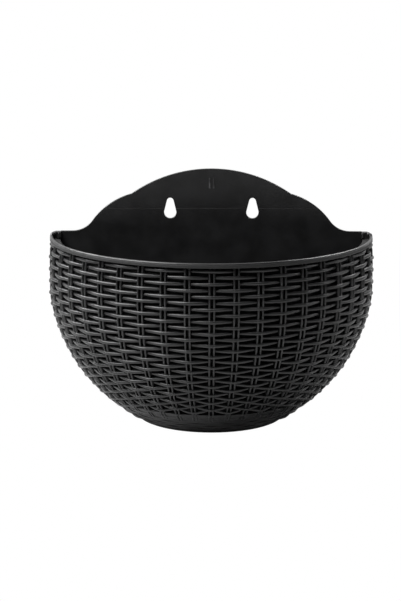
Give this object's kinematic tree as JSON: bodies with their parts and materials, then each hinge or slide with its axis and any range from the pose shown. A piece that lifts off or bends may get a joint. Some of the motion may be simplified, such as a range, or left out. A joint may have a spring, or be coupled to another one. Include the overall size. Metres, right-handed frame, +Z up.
{
  "type": "wall planter",
  "caption": "Half-round wall planter in moulded imitation rattan, with an arched back plate hung on two keyholes, a lift-out soil grid and a drain plug.",
  "frame": {"origin": "midpoint between the two wall screws, at the narrow ends of the keyholes, on the wall face of the back plate", "axes": "+X to the right seen from the front, +Y into the wall, +Z up; the bowl stands out towards -Y"},
  "size_m": [0.211, 0.1055, 0.165],
  "materials": {
    "black_plastic": "satin black moulded polypropylene",
    "grid_plastic": "matt black moulded polypropylene",
    "plug_rubber": "soft matt black rubber"
  },
  "bodies": {
    "planter": {"woven_bowl": "black_plastic", "back_plate": "black_plastic"},
    "grid": {"soil_grid": "grid_plastic"},
    "plug": {"drain_plug": "plug_rubber"}
  },
  "joints": [
    {"name": "grid_lift", "type": "slide", "parent": "planter", "child": "grid", "axis": [0, 0, 1], "range_m": [0, 0.165]},
    {"name": "plug_pull", "type": "slide", "parent": "planter", "child": "plug", "axis": [0, 0, -1], "range_m": [0, 0.012]}
  ]
}
